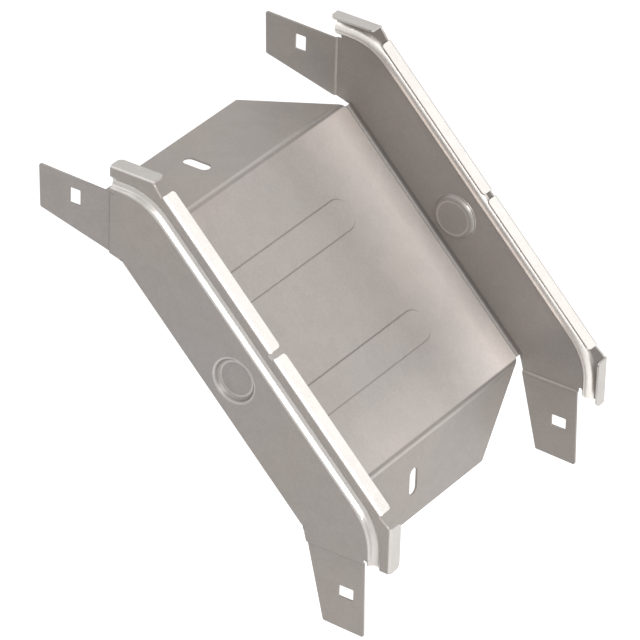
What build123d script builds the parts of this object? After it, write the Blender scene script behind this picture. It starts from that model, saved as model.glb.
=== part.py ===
from build123d import *
from math import atan2, degrees, radians, sin, sqrt, tan
import os

os.makedirs("parts", exist_ok=True)

# A cable tray drop-out folded from one sheet. It turns the cables from a level run, over a floor at
# 45 degrees, into a vertical run. The level end points along -X and the vertical end along -Z.
# Its vertical half is the mirror image of its level half, about the middle of the sloped floor.
# While it is built, X = 0 and Z = 0 are the planes of the two flaps' visible faces.

# Sheet and main sizes, in millimetres
sheet = 1.2                 # thickness
body_width = 200.0          # over the outer faces of the side plates
fold_reach = 114.55         # from the line where the two flaps' planes meet to each fold
rim_height = 52.1           # top of the level lip above the flap's face
slope_rim_height = 50.8     # top of the sloped lips above the floor
fold_radius = 3.0           # outer radius of the two folds between floor and flaps
side_radius = 2.2           # inner radius of the bends between floor and side plates
fold_relief = 2.0           # the side bends stop this far before each fold

# Flaps
flap_length = 46.35         # from the fold to the free end
flap_clearance = 3.9        # between the flap's root and the side plate
flap_taper = 32.1           # degrees that each side of a flap leans in
flap_corner = 1.5           # radius of the free corners
slot_width = 7.0
slot_length = 16.2          # over its round ends, along the flap
slot_from_fold = 24.5       # from the fold to the middle of the slot

# Tabs that enter the side walls of the tray, joggled inward by the thickness of the sheet
tab_start = 6.55            # from the fold to the joggle, along the flap
joggle_run = 1.0            # length of the joggle
joggle_bend = 0.4           # inner radius of its two bends
tab_length = 42.6           # from the joggle to the free end's lower corner
tab_lean = 0.8              # the free end's upper corner reaches this much further
tab_root_rise = 1.9         # lower edge above the flap's face, at the joggle
tab_toe_rise = 12.65        # lower corner of the free end above the flap's face
tab_tip_height = 37.05      # upper corner of the free end above the flap's face
tab_corner = 1.0            # radius of the free corners
toe_rise = 1.15             # lowest corner of the plate above the floor, at the side bend's end
hole_width = 6.8            # rectangular bolt hole, along the tab
hole_height = 9.0           # rectangular bolt hole, across the tab
hole_corner = 0.6
hole_from_joggle = 22.15    # from the joggle to the middle of the hole
hole_lift = 25.8            # middle of the hole above the flap's face

# Slit between tab and rim
slit_width = 2.6
slit_depth = 2.6            # from the rim's end to the root of the slit
slit_drop = 4.0             # upper edge of the slit below the middle of the bead

# Rim: it ends at the joggle, with a bead pressed inward along it and lips folded inward at its top
bead_drop = 9.7             # middle of the bead below the top of the level lip
bead_slope_drop = 9.1       # middle of the bead below the top of the sloped lips
bead_half_width = 4.6
bead_depth = 2.7
bead_turn_radius = 34.2     # radius of the bead's middle line where it turns
bead_bend = 1.0             # inner radius of the bends along its two sides
lip_width = 8.7             # from the plate's outer face to the lip's free edge
lip_bend = 0.8              # inner radius of the bend between plate and lip
lip_outer_corner = 3.0      # corner radius of the level lip at the rim's end
lip_corner = 2.0            # corner radius at the other lip ends
level_lip_length = 26.7
lip_gap = 3.6               # between the two sloped lips, at the middle
relief_run = 4.0            # from the level lip's end to the foot of the cut between the lips
relief_foot = 0.6           # length of that foot, up to the end of the sloped lip
relief_drop = 2.2           # foot of that cut below the top of the sloped lips

# Round boss pressed inward on each side plate, and two ribs pressed up across the floor
boss_height = 18.6          # middle of the boss above the floor
boss_radius = 13.0
boss_flank = 3.4            # width of its flank
boss_depth = 2.6
boss_bend = 0.4             # inner radius of the bend around its foot
rib_offset = 34.5           # from the middle of the floor to the middle of each rib
rib_width = 19.0
rib_margin = 42.8           # from the plate's outer face to the end of each rib
rib_height = 0.9
rib_flank_angle = 45.0

# Sizes that follow
half_turn = tan(radians(45 / 2))  # a 45 degree bend reaches this share of its radius each way
bevel = sheet * half_turn
half_width = body_width / 2
inner_face = half_width - sheet
lip_outer_radius = lip_bend + sheet
bead_height = rim_height - bead_drop
bead_slope_height = slope_rim_height - bead_slope_drop
slit_top = bead_height - slit_drop
joggle_x = -fold_reach - tab_start
tab_end_x = joggle_x - joggle_run - tab_length
flap_end_x = -fold_reach - flap_length
flap_half_root = inner_face - flap_clearance
flap_half_tip = flap_half_root - flap_length * tan(radians(flap_taper))
fold_half = fold_reach / sqrt(2)
side_bend_half = fold_half - fold_relief
far = body_width + fold_reach + flap_length + tab_length
overlap = 0.02              # a pressed form starts this far beyond the face that it leaves

# Local planes. On the slope X runs down the floor, Y across it and Z stands square to it.
slope = Plane(
    origin=(-fold_reach / 2, 0, -fold_reach / 2), x_dir=(1, 0, -1), z_dir=(1, 0, 1)
)
halfway = Plane(origin=slope.origin, x_dir=(0, 1, 0), z_dir=(1, 0, -1))
plate_plane = Plane(origin=(0, half_width, 0), x_dir=(1, 0, 0), z_dir=(0, -1, 0))


def on_slope(along, height):
    """X and Z of a point given along the slope, from its middle, and square to it."""
    return (
        (sqrt(2) * (height + along) - fold_reach) / 2,
        (sqrt(2) * (height - along) - fold_reach) / 2,
    )


def both_halves(points):
    """Points in X and Z on the level half, then their mirror images on the vertical half."""
    return points + [(z, x) for x, z in reversed(points)]


def bend_pair(run, depth, foot_radius):
    """Crest radius and turn in degrees of two opposite bends that step by depth over a run."""
    turn = 2 * atan2(depth, run)
    return run / sin(turn) - foot_radius, degrees(turn)


# Floor: a strip folded at both ends of the slope, trimmed to the flaps' outline
with BuildPart() as floor_trim:
    with BuildSketch() as flap_side:
        with BuildLine():
            Polyline(
                (-fold_reach, flap_half_root),
                (flap_end_x, flap_half_tip),
                (-far, flap_half_tip),
                (-far, half_width),
                (-fold_reach, half_width),
                close=True,
            )
        make_face()
    extrude(amount=fold_radius, both=True)
    with BuildSketch(slope) as slope_side:
        with BuildLine():
            Polyline(
                (-side_bend_half, inner_face - side_radius),
                (-fold_half, flap_half_root),
                (-far, flap_half_root),
                (-far, half_width),
                (-side_bend_half, half_width),
                close=True,
            )
        make_face()
    extrude(amount=fold_radius, both=True)
    mirror(about=Plane.XZ)
    with BuildSketch() as flap_slot:
        with Locations((-fold_reach - slot_from_fold, 0)):
            SlotOverall(slot_length, slot_width)
    extrude(amount=fold_radius, both=True)
    mirror(about=halfway)

with BuildPart() as floor:
    with BuildSketch(Plane.XZ) as floor_section:
        with BuildLine():
            visible_side = FilletPolyline(
                both_halves([(flap_end_x, 0), (-fold_reach, 0)]), radius=fold_radius
            )
            hidden_side = FilletPolyline(
                both_halves([(flap_end_x, -sheet), (-fold_reach - bevel, -sheet)]),
                radius=fold_radius - sheet,
            )
            Line(visible_side @ 0, hidden_side @ 0)
            Line(visible_side @ 1, hidden_side @ 1)
        make_face()
    extrude(amount=inner_face - side_radius, both=True)
    add(floor_trim.part, mode=Mode.SUBTRACT)
    fillet(floor.edges().filter_by(Axis.Z).group_by(Axis.X)[0], flap_corner)
    fillet(floor.edges().filter_by(Axis.X).group_by(Axis.Z)[0], flap_corner)
    # The ribs stand up from the floor and are hollow below
    for depth, inset, mode in ((0, 0, Mode.ADD), (sheet, bevel, Mode.SUBTRACT)):
        with BuildSketch(slope.offset(-depth)) as rib_outline:
            with Locations((-rib_offset, 0), (rib_offset, 0)):
                SlotOverall(
                    body_width - 2 * (rib_margin + inset), rib_width - 2 * inset, rotation=90
                )
        extrude(amount=rib_height, taper=rib_flank_angle, mode=mode)

# Sheet of a side plate: flat, with a joggle inward at each tab
joggle_end = joggle_x + 2 * sheet
joggle_bevel = sheet * tan(atan2(sheet, joggle_run) / 2)
with BuildPart() as plate_sheet:
    with BuildSketch() as joggle_section:
        with BuildLine():
            outer_side = FilletPolyline(
                (joggle_end, half_width),
                (joggle_x, half_width),
                (joggle_x - joggle_run, inner_face),
                (-far, inner_face),
                radius=(joggle_bend + sheet, joggle_bend),
            )
            inner_side = FilletPolyline(
                (joggle_end, inner_face),
                (joggle_x + joggle_bevel, inner_face),
                (joggle_x - joggle_run + joggle_bevel, inner_face - sheet),
                (-far, inner_face - sheet),
                radius=(joggle_bend, joggle_bend + sheet),
            )
            Line(outer_side @ 0, inner_side @ 0)
            Line(outer_side @ 1, inner_side @ 1)
        make_face()
    extrude(amount=far)
    mirror(about=halfway)
    with BuildSketch(plate_plane) as flat_area:
        with Locations((joggle_end, joggle_end)):
            Rectangle(far, far, align=(Align.MIN, Align.MIN))
    extrude(amount=sheet)

# Edge of a side plate, from the side bend round the tab, the slit and the rim
wall_top = rim_height - lip_outer_radius
slope_wall_top = slope_rim_height - lip_outer_radius
relief_height = slope_rim_height - relief_drop
relief_x = joggle_x + level_lip_length + relief_run
slope_lip_end = relief_height - (2 * relief_x + fold_reach) / sqrt(2) - relief_foot
level_edge = [
    on_slope(-side_bend_half, side_radius),
    on_slope(-side_bend_half, toe_rise),
    (joggle_x, tab_root_rise),
    (tab_end_x, tab_toe_rise),
    (tab_end_x - tab_lean, tab_tip_height),
    (joggle_x, slit_top - slit_width),
    (joggle_x + slit_depth, slit_top - slit_width),
    (joggle_x + slit_depth, slit_top),
    (joggle_x, slit_top),
    (joggle_x, wall_top),
    (joggle_x + level_lip_length, wall_top),
    (relief_x, sqrt(2) * relief_height - fold_reach - relief_x),
    on_slope(-slope_lip_end, relief_height),
    on_slope(-slope_lip_end, slope_wall_top),
    on_slope(-lip_gap / 2, slope_wall_top),
    on_slope(-lip_gap / 2, relief_height),
]
with BuildPart() as side_plate:
    with BuildSketch(plate_plane) as plate_outline:
        with BuildLine():
            Polyline(both_halves(level_edge), close=True)
        make_face()
        fillet(
            plate_outline.vertices().filter_by(
                lambda v: min(v.X, v.Y) < tab_end_x + tab_corner
            ),
            tab_corner,
        )
        fillet(
            plate_outline.vertices().filter_by(
                lambda v: abs(min(v.X, v.Y) - joggle_x - slit_depth) < overlap
            ),
            0.49 * slit_width,
        )
        with Locations((joggle_x - hole_from_joggle, hole_lift)):
            RectangleRounded(hole_width, hole_height, hole_corner, mode=Mode.SUBTRACT)
        with Locations((hole_lift, joggle_x - hole_from_joggle)):
            RectangleRounded(hole_height, hole_width, hole_corner, mode=Mode.SUBTRACT)
    extrude(amount=2 * sheet)
    add(plate_sheet.part, mode=Mode.INTERSECT)

# Bead along the rim and round boss: each is a form that stands out on the inner face, and the same
# form, set back by the sheet and with its bends' radii changed to suit, hollowed from the outer face
bead_corner_x = sqrt(2) * bead_slope_height - fold_reach - bead_height
bead_turn = min(bead_turn_radius, 0.98 * (bead_corner_x - joggle_x) / half_turn)
boss_x, boss_z = on_slope(0, boss_height)
pressed_forms = []
for face, growth in ((inner_face, 0), (half_width, sheet)):
    with BuildPart() as pressed_form:
        foot_radius = bead_bend + growth
        crest_radius, turn = bend_pair(bead_half_width, bead_depth + overlap, foot_radius)
        with BuildLine(plate_plane.offset(half_width - face)) as bead_path:
            FilletPolyline(
                both_halves([(joggle_x, bead_height), (bead_corner_x, bead_height)]),
                radius=bead_turn,
            )
        with BuildSketch(
            Plane(origin=(joggle_x, face, bead_height), x_dir=(0, 0, 1), z_dir=(1, 0, 0))
        ) as bead_section:
            with BuildLine():
                near_foot = JernArc((bead_half_width, -overlap), (-1, 0), foot_radius, -turn)
                crest = JernArc(near_foot @ 1, near_foot % 1, crest_radius, 2 * turn)
                far_foot = JernArc(crest @ 1, crest % 1, foot_radius, -turn)
                Polyline(
                    far_foot @ 1,
                    (-bead_half_width, -sheet / 2),
                    (bead_half_width, -sheet / 2),
                    near_foot @ 0,
                )
            make_face()
        sweep(path=bead_path.line)
        foot_radius = boss_bend + growth
        crest_radius, turn = bend_pair(boss_flank, boss_depth + overlap, foot_radius)
        boss_axis = Plane(
            origin=(boss_x, face, boss_z), x_dir=slope.x_dir, z_dir=-slope.z_dir
        )
        with BuildSketch(boss_axis) as boss_section:
            with BuildLine():
                foot = JernArc((boss_radius, -overlap), (-1, 0), foot_radius, -turn)
                crest = JernArc(foot @ 1, foot % 1, crest_radius, turn)
                Polyline(
                    crest @ 1,
                    (0, boss_depth),
                    (0, -sheet / 2),
                    (boss_radius, -sheet / 2),
                    foot @ 0,
                )
            make_face()
        revolve(axis=Axis((boss_x, face, boss_z), (0, -1, 0)))
    pressed_forms.append(pressed_form.part)

with BuildPart() as pressed_ridges:
    add(pressed_forms[0])
    extrude(plate_outline.sketch, amount=2 * sheet + bead_depth, mode=Mode.INTERSECT)

# Lips at the top of the rim: a bend and a flat strip with rounded free corners
with BuildPart() as lips:
    for base, top, start, length, outer_corner in (
        (Plane.XY, rim_height, joggle_x, level_lip_length, lip_outer_corner),
        (slope, slope_rim_height, -slope_lip_end, slope_lip_end - lip_gap / 2, lip_corner),
    ):
        with BuildSketch(base.offset(top - sheet)) as lip_flat:
            with Locations((start, half_width - lip_width)):
                Rectangle(length, lip_width - lip_outer_radius, align=(Align.MIN, Align.MIN))
            fillet(lip_flat.vertices().group_by(Axis.Y)[0].sort_by(Axis.X)[0], outer_corner)
            fillet(lip_flat.vertices().group_by(Axis.Y)[0].sort_by(Axis.X)[-1], lip_corner)
        extrude(amount=sheet)
        square_to_rim = Plane(origin=base.origin, x_dir=(0, 1, 0), z_dir=base.x_dir)
        with BuildSketch(square_to_rim.offset(start)) as lip_bend_section:
            with Locations((half_width - lip_outer_radius, top - lip_outer_radius)):
                Circle(lip_outer_radius)
                Circle(lip_bend, mode=Mode.SUBTRACT)
                Rectangle(
                    lip_outer_radius,
                    lip_outer_radius,
                    align=(Align.MIN, Align.MIN),
                    mode=Mode.INTERSECT,
                )
        extrude(amount=length)
    mirror(about=halfway)

# One side: plate, pressed forms, lips and the bend that joins it to the floor
with BuildPart() as side:
    add(side_plate.part)
    add(pressed_ridges.part)
    add(pressed_forms[1], mode=Mode.SUBTRACT)
    add(lips.part)
    with BuildSketch(halfway) as side_bend_section:
        with Locations((inner_face - side_radius, side_radius)):
            Circle(side_radius + sheet)
            Circle(side_radius, mode=Mode.SUBTRACT)
            Rectangle(
                side_radius + sheet,
                side_radius + sheet,
                align=(Align.MIN, Align.MAX),
                mode=Mode.INTERSECT,
            )
    extrude(amount=side_bend_half, both=True)

# The whole part. Its origin is in the middle of the level flap's underside, in line with the joggles,
# where the end of the tray's floor comes.
with BuildPart() as dropout_body:
    with Locations((-joggle_x, 0, sheet)):
        add(floor.part)
        add(side.part)
    mirror(side.part.moved(Location((-joggle_x, 0, sheet))), about=Plane.XZ)

dropout_body.part.label = "dropout_body"
export_step(dropout_body.part, "parts/dropout_body.step")
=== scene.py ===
import math

import bpy
from mathutils import Matrix, Vector


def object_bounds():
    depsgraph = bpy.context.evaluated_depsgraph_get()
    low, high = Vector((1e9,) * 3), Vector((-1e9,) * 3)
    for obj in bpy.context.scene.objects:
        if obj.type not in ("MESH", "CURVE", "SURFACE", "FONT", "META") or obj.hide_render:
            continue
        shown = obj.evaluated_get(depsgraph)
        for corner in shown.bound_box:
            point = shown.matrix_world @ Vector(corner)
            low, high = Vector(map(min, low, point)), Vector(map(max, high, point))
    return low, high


bl_info = {
    "name": "Cable tray drop-out",
    "version": (1, 0, 0),
    "blender": (4, 5, 0),
    "location": "3D View > Sidebar > Drop-out",
    "description": "Finishes a folded galvanised cable tray drop-out and sets up its studio",
    "category": "Object",
}

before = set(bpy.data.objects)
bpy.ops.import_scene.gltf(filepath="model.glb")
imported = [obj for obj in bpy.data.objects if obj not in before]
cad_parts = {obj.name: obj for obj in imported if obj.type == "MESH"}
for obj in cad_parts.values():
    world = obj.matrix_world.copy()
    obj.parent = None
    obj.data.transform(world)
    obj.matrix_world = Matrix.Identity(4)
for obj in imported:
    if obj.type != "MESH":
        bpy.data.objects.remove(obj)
CAD_BOX = [list(corner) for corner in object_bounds()]

# The fold geometry that the finish follows, in metres, in the part's own frame.
SHEET = 0.0012
RIM_HEIGHT = CAD_BOX[1][2] - SHEET
CORNER = Vector((CAD_BOX[1][0] - RIM_HEIGHT, 0.0, SHEET))  # where the planes of the two flaps meet
FOLD_REACH = 0.11455  # from that corner to the two cross folds
SLOPE_RIM_HEIGHT = 0.0508
RIM_TURN = 0.0156  # how far the bead's turns soften the corners between the rim's three parts
BODY_HALF_WIDTH = CAD_BOX[1][1]
FLAT_HALF_WIDTH = 0.0965  # the flat of the sloped floor, up to its side bends
DARK_LINE_REACH = 0.0802  # up or down the slope, from its middle to the darker lines beside the cross folds
BOSS_HEIGHT = 0.0186
BOSS_FOOT_RADIUS = 0.0125
BOSS_TOP_RADIUS = 0.0096

# Where each mark on the sheet lies: middle, half width and soft border. Depth is measured down from
# the rim, rise up from the sloped floor, and aside from the part's middle plane. Run is 0 across the
# middle of the floor and FOLD_REACH at both cross folds, so it is the slope's length times the root
# of 2.
# Of these, the fold lines and boss rings are painted highlights, the lips and the bead are worn and also
# painted lighter as a highlight, the side bends get painted shade, and the lines beside the cross folds
# are darker.
LIP_DEPTH = (0.0, 0.001, 0.0005)
BEAD_DEPTH = (0.0097, 0.0032, 0.0008)
FOLD_LINE_RUN = (0.1164, 0.0006, 0.0007)
FOLD_LINE_RISE = (-0.0013, 0.0009, 0.0008)
BOSS_FOOT_RING = (BOSS_FOOT_RADIUS, 0.0003, 0.0004)
BOSS_TOP_RING = (BOSS_TOP_RADIUS, 0.0003, 0.0004)
DARK_LINE_RUN = (math.sqrt(2) * DARK_LINE_REACH, 0.0006, 0.0009)
DARK_LINE_RISE = (0.0, 0.0012, 0.0006)
SIDE_BEND_ASIDE = (BODY_HALF_WIDTH, 0.0028, 0.0008)
SIDE_BEND_RISE = (0.0, 0.0028, 0.0008)
SIDE_BEND_RUN = (0.0, math.sqrt(2) * DARK_LINE_REACH - 0.002, 0.002)
FLOOR_RISE = (0.0003, 0.0009, 0.0003)
FLOOR_RUN = (0.0, FOLD_REACH - 0.003, 0.002)
FLOOR_ASIDE = (0.0, FLAT_HALF_WIDTH, 0.0008)
PLATE_RUN = (0.0, FOLD_REACH - 0.01, 0.02)

# Where painted highlights and painted shade change the zinc's colour, and the factors between which they
# do: a painted sheen on the floor, painted shade on the inner faces of the side plates and a painted
# highlight on the beads there. Facing is -1 on the inner faces of the side plates and 1 on the outer
# ones.
SHEEN_ASIDE = (0.035, 0.092)
MIDDLE_DIP = 0.19  # share of the floor's sheen that its middle lacks
LOW_END_RUN = (0.055, 0.113)
LOW_END_GAIN = (1.0, 1.25)
SHADE_FACING = (-0.6, -0.95)
PLATE_FACING = (-0.3, -0.8)
PLATE_RISE = (0.0, 0.032)
PLATE_SHADE = (0.64, 1.06)
BEAD_FACING = (-0.25, -0.6)
BEAD_GAIN = (0.0, 0.45)

# The texture of the zinc. Clouds and grain have a size, a detail and a roughness.
CLOUDS = (0.035, 3.0, 0.55)
GRAIN = (0.0007, 2.0, 0.6)
BLOTCH = 0.5  # how wide the blotches of a noise of scale 1 are
SPANGLE_SCALE = 140.0
NOISE_SPAN = (0.3, 0.7)  # the range in which most of a noise's values lie
CLOUD_WEAR = (0.9, 1.0)
GRAIN_TONE = (0.96, 1.04)
SPANGLE_TONE = (0.985, 1.015)
CLOUD_ROUGHNESS = (-0.03, 0.03)
COOL_TINT = (0.97, 0.99, 1.02)
WARM_TINT = (1.03, 1.01, 0.99)
GRAIN_BUMP = 0.1
GRAIN_HEIGHT = 0.0001

# Soft panels: direction from the part, distance, side length and radiance.
PART_MIDDLE = Vector((0.06, 0.0, -0.06))
PANELS = {
    "overhead_panel": ((0.707, 0.0, 0.707), 1.7, 0.7, 10.4),
    "front_panel": ((0.66, -0.38, 0.65), 1.7, 0.6, 6.2),
    "window_panel": ((0.53, -0.707, 0.47), 3.6, 1.4, 6.6),
    "rear_panel": ((0.528, 0.707, 0.470), 1.7, 0.8, 1.3),
    "left_panel": ((-0.47, -0.53, 0.71), 2.2, 1.0, 0.9),
}
WHITE = (1.0, 1.0, 1.0, 1.0)
PAPER = (0.8, 0.8, 0.8, 1.0)
FLOOR_HALF = 6.0
SENSOR_WIDTH = 36.0  # in millimetres, as the focal length is
CLIP_END = 50.0


# Node helpers


def new_material(name):
    """A material with an empty node tree, and its tree."""
    material = bpy.data.materials.new(name)
    material.use_nodes = True
    material.node_tree.nodes.clear()
    return material, material.node_tree


def add_node(tree, kind, label=None, inputs=None, **settings):
    """A node with its settings and the values or links of its inputs."""
    node = tree.nodes.new(kind)
    if label:
        node.label = label
    for key, value in settings.items():
        setattr(node, key, value)
    for key, value in (inputs or {}).items():
        if isinstance(value, bpy.types.NodeSocket):
            tree.links.new(value, node.inputs[key])
        else:
            node.inputs[key].default_value = value
    return node


def math_node(tree, operation, a, b=0.0, c=0.0, label=None):
    """The output of a Math node."""
    node = add_node(tree, "ShaderNodeMath", label, {0: a, 1: b, 2: c}, operation=operation)
    return node.outputs[0]


def product(tree, *values, label=None):
    """All the values multiplied."""
    result = values[0]
    for value in values[1:]:
        result = math_node(tree, "MULTIPLY", result, value, label=label)
    return result


def ramp(tree, value, span, ends, label=None, kind="SMOOTHSTEP"):
    """Runs from the first to the second end while the value crosses the span."""
    node = add_node(
        tree,
        "ShaderNodeMapRange",
        label,
        {"Value": value, "From Min": span[0], "From Max": span[1], "To Min": ends[0], "To Max": ends[1]},
        interpolation_type=kind,
    )
    return node.outputs[0]


def band(tree, value, extent, label=None):
    """1 where a value lies within half of the middle, falling to 0 over a soft border."""
    middle, half, soft = extent
    away = math_node(tree, "ABSOLUTE", math_node(tree, "SUBTRACT", value, middle))
    return ramp(tree, away, (half, half + soft), (1.0, 0.0), label)


def spread(tree, value, ends):
    """A noise value about 0.5 stretched to the range between the ends."""
    return ramp(tree, value, NOISE_SPAN, ends, kind="LINEAR")


def noise(tree, vector, pattern, label):
    """Noise whose blotches are about as wide as the pattern's size, in metres."""
    size, detail, roughness = pattern
    node = add_node(
        tree,
        "ShaderNodeTexNoise",
        label,
        {"Vector": vector, "Scale": BLOTCH / size, "Detail": detail, "Roughness": roughness},
    )
    return node.outputs["Fac"]


def mix_colour(tree, factor, a, b, label, blend_type="MIX"):
    """The output of a colour mix."""
    node = add_node(
        tree, "ShaderNodeMix", label, {"Factor": factor}, data_type="RGBA", blend_type=blend_type
    )
    for name, value in (("A", a), ("B", b)):
        socket = next(i for i in node.inputs if i.name == name and i.type == "RGBA")
        if isinstance(value, bpy.types.NodeSocket):
            tree.links.new(value, socket)
        else:
            socket.default_value = (*value, 1.0)
    return next(o for o in node.outputs if o.type == "RGBA")


def mix_value(tree, factor, a, b, label=None):
    """The output of a value mix."""
    node = add_node(tree, "ShaderNodeMix", label, {0: factor, 2: a, 3: b}, data_type="FLOAT")
    return node.outputs[0]


# Properties


def share(name, description, default):
    """A property between 0 and 1."""
    return bpy.props.FloatProperty(
        name=name,
        description=description,
        subtype="FACTOR",
        min=0.0,
        max=1.0,
        default=default,
    )


def colour(name, description, default):
    """A colour property."""
    return bpy.props.FloatVectorProperty(
        name=name,
        description=description,
        subtype="COLOR",
        size=3,
        min=0.0,
        max=1.0,
        default=default,
    )


def angle(name, description, degrees):
    """An angle property with its default in degrees."""
    return bpy.props.FloatProperty(
        name=name,
        description=description,
        subtype="ANGLE",
        default=math.radians(degrees),
    )


class SheetFinish(bpy.types.PropertyGroup):
    """Colour and surface of the galvanised sheet, and its painted highlights and painted shade."""

    zinc: colour("Zinc", "Colour of the rolled zinc surface", (0.334, 0.304, 0.282))
    # Lighter colour of the worn lips and beads, which is also a painted highlight on them.
    worn_highlit_zinc: colour(
        "Worn and highlit zinc",
        "Colour where the forming tools rubbed the lips and beads bright",
        (0.535, 0.51, 0.486),
    )
    roughness: share("Roughness", "Roughness of the rolled zinc surface", 0.5)
    bright_metal: share(
        "Bright metal", "Share of bare metal against the matt oxide on the zinc", 0.4
    )
    worn_roughness: share("Worn roughness", "Roughness of the rubbed lips and beads", 0.34)
    # Painted highlights: how light the thin lines on the folds and bosses are made.
    painted_highlight_lines: share(
        "Painted highlight lines", "How bright the thin lines on the folds and bosses are", 0.6
    )
    # Painted sheen: how much lighter the floor's colour is made beside its side bends, as reflected
    # light.
    painted_floor_sheen: share(
        "Painted floor sheen", "How much brighter the sloped floor is beside its side bends", 0.68
    )
    # Painted shade: how much darker the colour is made on the inside of the side plates.
    inner_painted_shade: share(
        "Inner painted shade", "How much darker the zinc is on the inside of the side plates", 0.17
    )
    # Darkens the line beside each cross fold and paints shade inside the side bends.
    dark_line_and_bend_shade: share(
        "Darker lines and bend shade", "How much darker the marks of the folding tool are, at the bends", 0.3
    )


class StudioLook(bpy.types.PropertyGroup):
    """Camera, floor and lamps."""

    azimuth: angle("Camera azimuth", "Turn of the view from +Y towards -X", 33.625)
    elevation: angle("Camera elevation", "Height of the view above the horizon", 31.886)
    roll: angle("Camera roll", "Turn of the picture about the line of sight", -1.841)
    eye: bpy.props.FloatVectorProperty(
        name="Camera place",
        description="Where the camera stands",
        subtype="TRANSLATION",
        unit="LENGTH",
        size=3,
        default=(1.48497, -2.14184, 1.53692),
    )
    lens: bpy.props.FloatProperty(
        name="Focal length",
        description="Focal length in millimetres for a sensor 36 mm wide",
        default=334.29,
    )
    floor_drop: bpy.props.FloatProperty(
        name="Floor drop",
        description="Height of the origin above the floor",
        subtype="DISTANCE",
        unit="LENGTH",
        default=0.75,
    )
    room_light: bpy.props.FloatProperty(
        name="Room light",
        description="Strength of the even light from all sides",
        min=0.0,
        default=0.4,
    )
    floor_glow: bpy.props.FloatProperty(
        name="Floor glow",
        description="What the lit floor lacks to look white",
        min=0.0,
        default=0.6,
    )
    panel_level: bpy.props.FloatProperty(
        name="Panel level",
        description="Brightness of all the soft panels together",
        subtype="FACTOR",
        min=0.0,
        default=1.0,
    )


# Places on the sheet


class SheetPlaces:
    """Where a point of the surface lies among the folds, and where it faces, as sockets."""

    def __init__(self, tree):
        coordinates = add_node(tree, "ShaderNodeTexCoord")
        self.point = coordinates.outputs["Object"]
        local = add_node(
            tree,
            "ShaderNodeVectorMath",
            "from the corner",
            {0: self.point, 1: CORNER},
            operation="SUBTRACT",
        )
        axes = add_node(tree, "ShaderNodeSeparateXYZ", None, {0: local.outputs[0]})
        x, z = axes.outputs["X"], axes.outputs["Z"]
        self.rise = slope_height(tree, x, z)
        self.depth, self.edge = rim_depths(tree, x, z, self.rise)
        self.across = math_node(tree, "SUBTRACT", x, z)
        self.run = math_node(tree, "ABSOLUTE", self.across)

        self.y = add_node(tree, "ShaderNodeSeparateXYZ", None, {0: self.point}).outputs["Y"]
        self.aside = math_node(tree, "ABSOLUTE", self.y)
        facing = add_node(tree, "ShaderNodeSeparateXYZ", None, {0: coordinates.outputs["Normal"]})
        self.outward = product(tree, facing.outputs["Y"], math_node(tree, "SIGN", self.y))
        self.upward = math_node(tree, "ADD", facing.outputs["X"], facing.outputs["Z"])


def slope_height(tree, x, z):
    """Height above the sloped floor."""
    along = math_node(tree, "ADD", math_node(tree, "ADD", x, z), FOLD_REACH)
    return product(tree, along, math.sqrt(0.5), label="height above the floor")


def rim_depths(tree, x, z, rise):
    """Depth below the rim of a side plate: first with the bead's soft turns, then with sharp ones."""
    level = math_node(tree, "SUBTRACT", RIM_HEIGHT, z)
    sloped = math_node(tree, "SUBTRACT", SLOPE_RIM_HEIGHT, rise)
    upright = math_node(tree, "SUBTRACT", RIM_HEIGHT, x)
    upper = math_node(tree, "SMOOTH_MIN", level, sloped, RIM_TURN)
    depth = math_node(tree, "SMOOTH_MIN", upper, upright, RIM_TURN, "depth below the rim")
    edge = math_node(tree, "MINIMUM", math_node(tree, "MINIMUM", level, sloped), upright)
    return depth, edge


# Marks on the sheet, with painted highlights and painted shade


def painted_highlight_lines(tree, places):
    """Painted highlights: thin lines along the outside of the cross folds, and two rings on each boss.
    """
    fold = product(
        tree,
        band(tree, places.run, FOLD_LINE_RUN, "bright line on the fold"),
        band(tree, places.rise, FOLD_LINE_RISE),
    )
    along = product(tree, places.across, math.sqrt(0.5))
    lift = math_node(tree, "SUBTRACT", places.rise, BOSS_HEIGHT)
    reach = add_node(tree, "ShaderNodeCombineXYZ", None, {0: along, 1: lift}).outputs[0]
    radius = add_node(
        tree, "ShaderNodeVectorMath", "distance from the boss", {0: reach}, operation="LENGTH"
    ).outputs["Value"]
    foot = band(tree, radius, BOSS_FOOT_RING)
    top = band(tree, radius, BOSS_TOP_RING)
    rings = math_node(tree, "MAXIMUM", foot, top, label="boss rings")
    return math_node(tree, "MAXIMUM", fold, rings, label="painted highlight lines")


def dark_lines_and_bend_shade(tree, places):
    """A darker line beside each cross fold, and painted shade inside the side bends."""
    cross = product(
        tree,
        band(tree, places.run, DARK_LINE_RUN, "press mark"),
        band(tree, places.rise, DARK_LINE_RISE),
    )
    # Painted shade on the inner side of the side bends.
    above = math_node(tree, "SUBTRACT", places.upward, places.outward)
    side = product(
        tree,
        band(tree, places.aside, SIDE_BEND_ASIDE, "side bend"),
        band(tree, places.rise, SIDE_BEND_RISE),
        band(tree, places.run, SIDE_BEND_RUN),
        math_node(tree, "GREATER_THAN", above, 0.0),
    )
    return math_node(tree, "MAXIMUM", cross, side)


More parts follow.
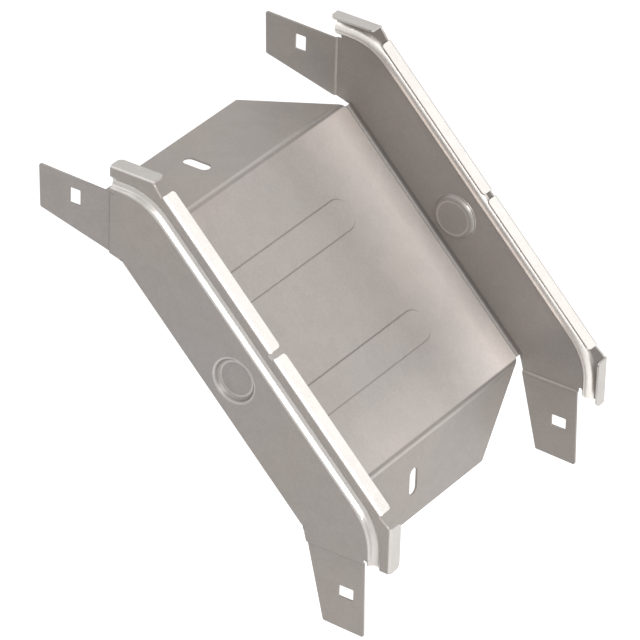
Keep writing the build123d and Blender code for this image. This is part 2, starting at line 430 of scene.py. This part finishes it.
def painted_floor_sheen(tree, places, finish):
    """Painted sheen on the sloped floor: its colour is lighter towards its side bends and its lower
    fold, and a little darker in its middle, standing in for reflected light.
    """
    on_floor = product(
        tree,
        band(tree, places.rise, FLOOR_RISE, "sloped floor"),
        band(tree, places.run, FLOOR_RUN),
        band(tree, places.y, FLOOR_ASIDE),
    )
    ends = (1.0 - finish.painted_floor_sheen * MIDDLE_DIP, 1.0 + finish.painted_floor_sheen)
    beside = ramp(tree, places.aside, SHEEN_ASIDE, ends, "painted highlight beside the side bends")
    low_end = ramp(tree, places.across, LOW_END_RUN, LOW_END_GAIN, "painted highlight towards the lower fold")
    sheen = product(tree, beside, low_end)
    return mix_value(tree, on_floor, 1.0, sheen, "painted sheen of the floor")


def painted_plate_shade(tree, places, finish, wear_and_highlight):
    """Painted shade on the inner faces of the side plates, darkest beside the floor."""
    # Painted shade: darker inner faces, darker still towards the floor, left off on the worn lips and
    # bead.
    ends = (1.0, 1.0 - finish.inner_painted_shade)
    inner_shade = ramp(tree, places.outward, SHADE_FACING, ends, "painted shade inside the side plates")
    shade = ramp(
        tree, places.rise, PLATE_RISE, PLATE_SHADE, "painted shade towards the side bends", kind="LINEAR"
    )
    within = ramp(tree, places.outward, PLATE_FACING, (0.0, 1.0), "inner faces", kind="LINEAR")
    within = product(tree, within, band(tree, places.run, PLATE_RUN))
    inner_shade = product(tree, inner_shade, mix_value(tree, within, 1.0, shade))
    return mix_value(tree, wear_and_highlight, inner_shade, 1.0)


# Materials


def galvanised_sheet(finish):
    """Satin rolled zinc with faint clouds, spangle and grain, worn and painted lighter on lips and beads
    as a highlight, with painted highlights and painted shade elsewhere.
    """
    material, tree = new_material("galvanised_sheet")
    places = SheetPlaces(tree)

    clouds = noise(tree, places.point, CLOUDS, "clouds in the zinc")
    grain = noise(tree, places.point, GRAIN, "zinc grain")
    spangle = add_node(
        tree, "ShaderNodeTexVoronoi", "faint spangle", {"Vector": places.point, "Scale": SPANGLE_SCALE}
    )
    flakes = add_node(tree, "ShaderNodeSeparateColor", None, {0: spangle.outputs["Color"]}).outputs[0]

    # The lips and the bead are worn glossier and lighter, and their lighter colour is also a painted
    # highlight; the thin lines are painted highlights.
    lips = band(tree, places.edge, LIP_DEPTH, "lips")
    bead = band(tree, places.depth, BEAD_DEPTH, "bead")
    wear_and_highlight = math_node(tree, "MAXIMUM", lips, bead, label="worn and painted highlight")
    patchy = product(tree, wear_and_highlight, spread(tree, clouds, CLOUD_WEAR))
    lines = product(tree, painted_highlight_lines(tree, places), finish.painted_highlight_lines)
    patchy = math_node(tree, "MAXIMUM", patchy, lines)

    # Painted highlight: the bead is made lighter still on the inner faces of the side plates.
    bead_highlight = ramp(tree, places.outward, BEAD_FACING, BEAD_GAIN, "inner side of the beads")
    bead_highlight = math_node(tree, "ADD", product(tree, bead_highlight, bead), 1.0)
    darkening = product(tree, dark_lines_and_bend_shade(tree, places), finish.dark_line_and_bend_shade)
    # The tone multiplies random grain and spangle with the darker lines, painted shade and painted
    # highlights.
    tone = product(
        tree,
        spread(tree, grain, GRAIN_TONE),
        spread(tree, flakes, SPANGLE_TONE),
        math_node(tree, "SUBTRACT", 1.0, darkening),
        painted_floor_sheen(tree, places, finish),
        painted_plate_shade(tree, places, finish, wear_and_highlight),
        bead_highlight,
        label="tone",
    )
    grey = add_node(tree, "ShaderNodeCombineColor", None, {0: tone, 1: tone, 2: tone})

    cool = [level * tint for level, tint in zip(finish.zinc, COOL_TINT)]
    warm = [level * tint for level, tint in zip(finish.zinc, WARM_TINT)]
    base = mix_colour(tree, spread(tree, clouds, (0.0, 1.0)), cool, warm, "zinc")
    base = mix_colour(tree, patchy, base, finish.worn_highlit_zinc, "worn and highlit zinc")
    base = mix_colour(tree, 1.0, base, grey.outputs[0], "toned zinc", "MULTIPLY")

    rough = mix_value(tree, patchy, finish.roughness, finish.worn_roughness)
    rough = math_node(tree, "ADD", rough, spread(tree, clouds, CLOUD_ROUGHNESS), label="roughness")
    metal = mix_value(tree, patchy, finish.bright_metal, 1.0, "bare metal")
    bump = add_node(
        tree,
        "ShaderNodeBump",
        "grain",
        {"Height": grain, "Strength": GRAIN_BUMP, "Distance": GRAIN_HEIGHT},
    )
    shader = add_node(
        tree,
        "ShaderNodeBsdfPrincipled",
        None,
        {"Base Color": base, "Metallic": metal, "Roughness": rough, "Normal": bump.outputs[0]},
    )
    output = add_node(tree, "ShaderNodeOutputMaterial")
    tree.links.new(shader.outputs[0], output.inputs["Surface"])
    return material


def seen_ray(tree):
    """1 for rays from the camera and for reflected and refracted ones."""
    ray = add_node(tree, "ShaderNodeLightPath")
    mirrored = math_node(
        tree, "MAXIMUM", ray.outputs["Is Glossy Ray"], ray.outputs["Is Transmission Ray"]
    )
    return math_node(tree, "MAXIMUM", ray.outputs["Is Camera Ray"], mirrored, label="seen")


def studio_floor(look):
    """A pale floor that looks white, but for the part's shadow."""
    material, tree = new_material("studio_floor")
    paper = add_node(tree, "ShaderNodeBsdfDiffuse", None, {"Color": PAPER})
    strength = product(tree, seen_ray(tree), look.floor_glow)
    glow = add_node(tree, "ShaderNodeEmission", None, {"Color": WHITE, "Strength": strength})
    both = add_node(tree, "ShaderNodeAddShader", None, {0: paper.outputs[0], 1: glow.outputs[0]})
    output = add_node(tree, "ShaderNodeOutputMaterial")
    tree.links.new(both.outputs[0], output.inputs["Surface"])
    return material


def studio_world(look):
    """White surroundings that light the part softly."""
    world = bpy.data.worlds.new("studio")
    world.use_nodes = True
    tree = world.node_tree
    tree.nodes.clear()
    strength = math_node(tree, "MAXIMUM", seen_ray(tree), look.room_light)
    light = add_node(tree, "ShaderNodeBackground", None, {"Color": WHITE, "Strength": strength})
    output = add_node(tree, "ShaderNodeOutputWorld")
    tree.links.new(light.outputs[0], output.inputs["Surface"])
    return world


# Studio


def floor_sheet(look):
    """The square floor below the part."""
    mesh = bpy.data.meshes.new("floor")
    z = -look.floor_drop
    corners = [(-1, -1), (1, -1), (1, 1), (-1, 1)]
    mesh.from_pydata([(FLOOR_HALF * x, FLOOR_HALF * y, z) for x, y in corners], [], [(0, 1, 2, 3)])
    floor = bpy.data.objects.new("floor", mesh)
    floor.data.materials.append(studio_floor(look))
    bpy.context.scene.collection.objects.link(floor)
    return floor


def soft_panel(name, way, distance, side, radiance):
    """A square lamp that faces the part and stays out of the picture."""
    lamp = bpy.data.lights.new(name, "AREA")
    lamp.shape = "SQUARE"
    lamp.size = side
    lamp.energy = math.pi * side * side * radiance
    panel = bpy.data.objects.new(name, lamp)
    outward = Vector(way).normalized()
    panel.location = PART_MIDDLE + distance * outward
    panel.rotation_euler = outward.to_track_quat("Z", "Y").to_euler()
    panel.visible_camera = False
    bpy.context.scene.collection.objects.link(panel)


def camera_axes(look):
    """The camera's own axes as the columns of a matrix."""
    turn, lift = look.azimuth, look.elevation
    forward = Vector(
        (
            -math.sin(turn) * math.cos(lift),
            math.cos(turn) * math.cos(lift),
            -math.sin(lift),
        )
    )
    right = Vector((math.cos(turn), math.sin(turn), 0.0))
    down = forward.cross(right)
    rolled_right = math.cos(look.roll) * right + math.sin(look.roll) * down
    rolled_down = math.cos(look.roll) * down - math.sin(look.roll) * right
    return Matrix((rolled_right, -rolled_down, -forward)).transposed()


def studio_camera(look):
    """The camera in its place, at the photograph's angle."""
    camera_data = bpy.data.cameras.new("camera")
    camera_data.lens = look.lens
    camera_data.sensor_width = SENSOR_WIDTH
    camera_data.clip_end = CLIP_END
    camera = bpy.data.objects.new("camera", camera_data)
    camera.matrix_world = Matrix.Translation(look.eye) @ camera_axes(look).to_4x4()
    bpy.context.scene.collection.objects.link(camera)
    return camera


# Operators


class DROPOUT_OT_body(bpy.types.Operator):
    """Finish the folded body"""

    bl_idname = "dropout.body"
    bl_label = "Finish body"

    def execute(self, context):
        material = galvanised_sheet(context.scene.sheet_finish)
        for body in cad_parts.values():
            body.data.materials.clear()
            body.data.materials.append(material)
        return {"FINISHED"}


class DROPOUT_OT_studio(bpy.types.Operator):
    """Set up the floor, the lamps and the camera"""

    bl_idname = "dropout.studio"
    bl_label = "Set up studio"

    def execute(self, context):
        scene = context.scene
        look = scene.studio_look
        floor = floor_sheet(look)
        scene.world = studio_world(look)
        for name, (way, distance, side, radiance) in PANELS.items():
            soft_panel(name, way, distance, side, look.panel_level * radiance)
        scene.camera = studio_camera(look)
        scene.view_settings.view_transform = "Standard"
        return {"FINISHED"}


class DROPOUT_PT_panel(bpy.types.Panel):
    """Drop-out tools"""

    bl_idname = "DROPOUT_PT_panel"
    bl_label = "Cable tray drop-out"
    bl_space_type = "VIEW_3D"
    bl_region_type = "UI"
    bl_category = "Drop-out"

    def draw(self, context):
        column = self.layout.column()
        column.operator(DROPOUT_OT_body.bl_idname)
        column.operator(DROPOUT_OT_studio.bl_idname)


CLASSES = (SheetFinish, StudioLook, DROPOUT_OT_body, DROPOUT_OT_studio, DROPOUT_PT_panel)


def register():
    for cls in CLASSES:
        bpy.utils.register_class(cls)
    bpy.types.Scene.sheet_finish = bpy.props.PointerProperty(type=SheetFinish)
    bpy.types.Scene.studio_look = bpy.props.PointerProperty(type=StudioLook)


def unregister():
    del bpy.types.Scene.studio_look
    del bpy.types.Scene.sheet_finish
    for cls in reversed(CLASSES):
        bpy.utils.unregister_class(cls)


def main():
    register()
    bpy.ops.dropout.body()
    bpy.ops.dropout.studio()


if __name__ == "__main__":
    main()
